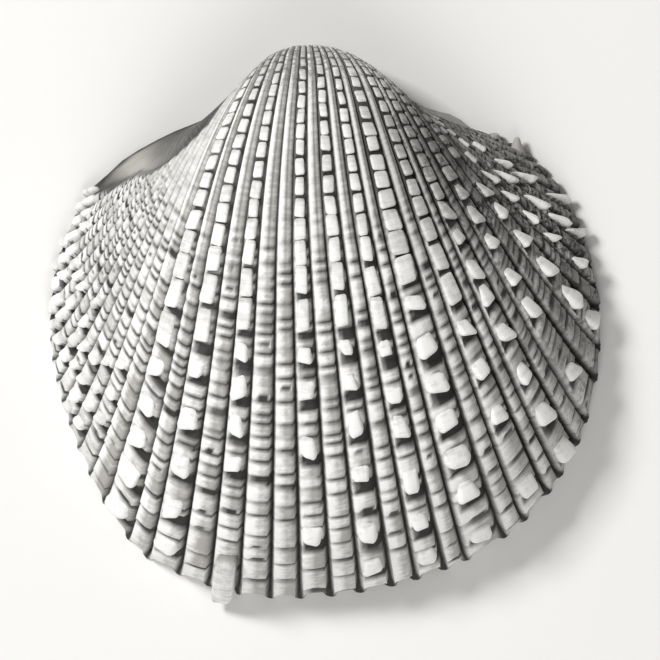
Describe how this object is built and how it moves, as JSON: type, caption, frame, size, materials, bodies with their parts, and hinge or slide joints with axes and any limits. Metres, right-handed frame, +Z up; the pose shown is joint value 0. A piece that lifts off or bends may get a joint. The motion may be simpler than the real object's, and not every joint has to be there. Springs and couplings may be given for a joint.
{
  "type": "cockle shell valve",
  "caption": "One domed valve of a sea shell with ribs fanning from a swollen beak, blocky scales on the ribs and an open hollow below.",
  "frame": {"origin": "centre of the valve's bounding box, on the ground plane that its margin lies on", "axes": "+Y towards the beak, +Z up out of the bulging outside, +X to the right seen from above with the beak at the top"},
  "size_m": [0.0663, 0.0668, 0.0265],
  "materials": {
    "shell": "matte"
  },
  "bodies": {
    "root": {"valve": "shell"}
  },
  "joints": []
}
